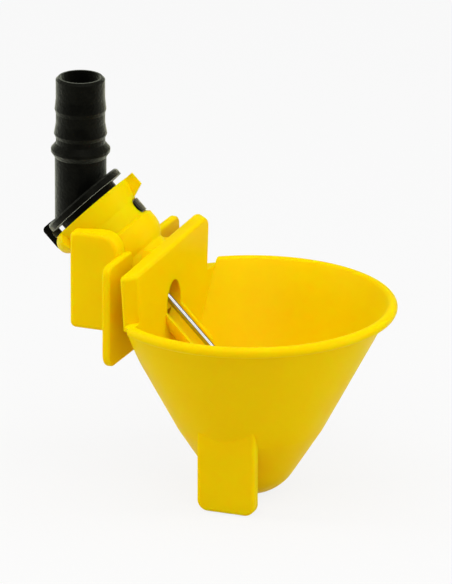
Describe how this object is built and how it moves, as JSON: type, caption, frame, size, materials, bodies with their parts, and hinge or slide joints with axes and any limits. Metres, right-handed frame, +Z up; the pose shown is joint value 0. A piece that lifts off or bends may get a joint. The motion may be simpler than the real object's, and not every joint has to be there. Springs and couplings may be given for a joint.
{
  "type": "poultry drinking cup",
  "caption": "Conical drinking cup that hangs in a cage wall, with a tilting pin valve and an angled barbed hose tail.",
  "frame": {"origin": "underside of the neck, in the middle of the cage slot, where the cage wire carries the drinker", "axes": "+Z up along the hose tail, +X from the slot to the front of the cup, +Y across the drinker"},
  "size_m": [0.0996, 0.08, 0.1126],
  "materials": {
    "yellow_plastic": "soft gloss, moulded",
    "black_plastic": "soft gloss, moulded",
    "rubber": "matt",
    "white_plastic": "matt, moulded",
    "stainless": "bright drawn"
  },
  "bodies": {
    "drinker": {"drinking_cup": "yellow_plastic", "inlet_elbow": "black_plastic", "seat_gasket": "rubber", "strainer_disc": "white_plastic", "valve_spring": "stainless"},
    "trigger": {"trigger_pin": "stainless"}
  },
  "joints": [
    {"name": "trigger_tilt", "type": "hinge", "parent": "drinker", "child": "trigger", "pos_m": [-0.00458, 0, 0.02282], "axis": [0, 1, 0], "range_deg": [0, 6], "stiffness_Nm_per_rad": 0.02, "springref_deg": -5.73}
  ]
}
